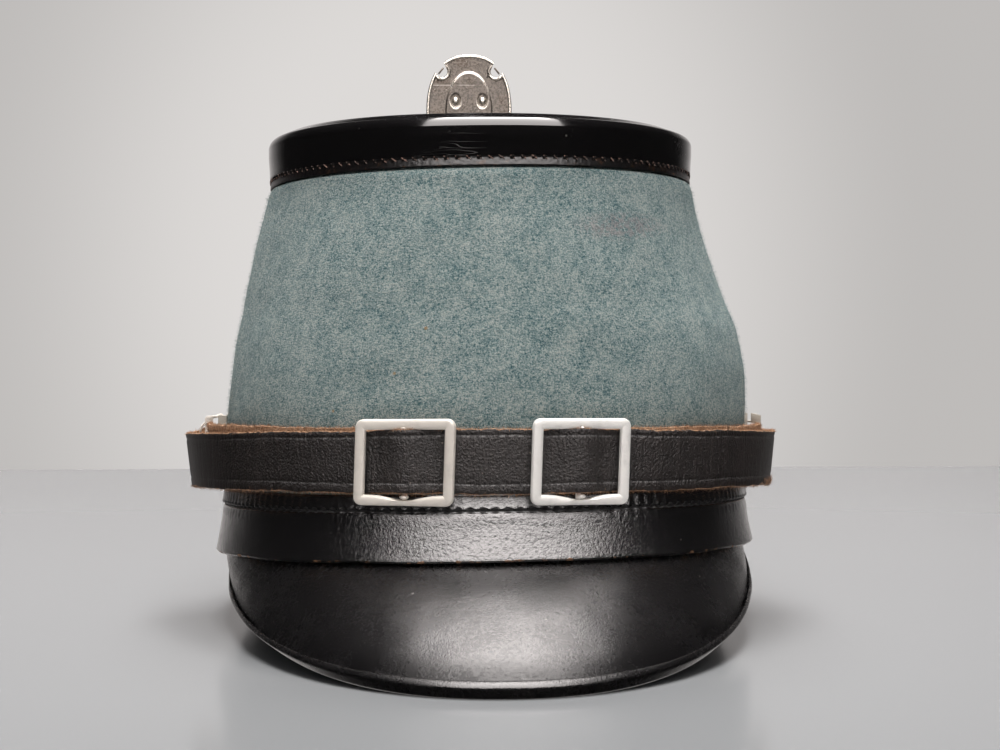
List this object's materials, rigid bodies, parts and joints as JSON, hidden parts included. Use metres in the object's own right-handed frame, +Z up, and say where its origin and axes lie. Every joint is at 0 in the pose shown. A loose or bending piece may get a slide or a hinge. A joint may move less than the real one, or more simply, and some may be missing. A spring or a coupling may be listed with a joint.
{
  "type": "shako hat",
  "caption": "Tapered oval felt shako with a lacquered leather top, leather band, near and far peaks, buckled leather strap and a metal badge plate; hollow and open below.",
  "frame": {"origin": "middle of the hat's outline on the surface it rests on", "axes": "+Z up, -Y towards the near peak and the buckled strap, +X to the right when that side is faced"},
  "size_m": [0.2012, 0.2951, 0.1992],
  "materials": {
    "felt": "matt blue-green grey felt",
    "lacquer": "high gloss black lacquer",
    "band_leather": "polished black grained leather",
    "strap_leather": "worn dark brown leather",
    "pale_metal": "pale satin nickel",
    "plate_metal": "tarnished white metal"
  },
  "bodies": {
    "root": {"crown_body": "felt", "crown_top": "lacquer", "base_band": "band_leather", "near_peak": "band_leather", "near_peak_binding": "band_leather", "far_peak": "band_leather", "far_peak_binding": "band_leather", "chin_strap": "strap_leather", "buckle_left": "pale_metal", "buckle_right": "pale_metal", "side_ring_left": "pale_metal", "side_ring_right": "pale_metal", "side_plate_left": "pale_metal", "side_plate_right": "pale_metal", "badge_plate": "plate_metal", "badge_rivet_left": "plate_metal", "badge_rivet_right": "plate_metal", "badge_tab_left": "plate_metal", "badge_tab_right": "plate_metal", "badge_post": "plate_metal"}
  },
  "joints": []
}
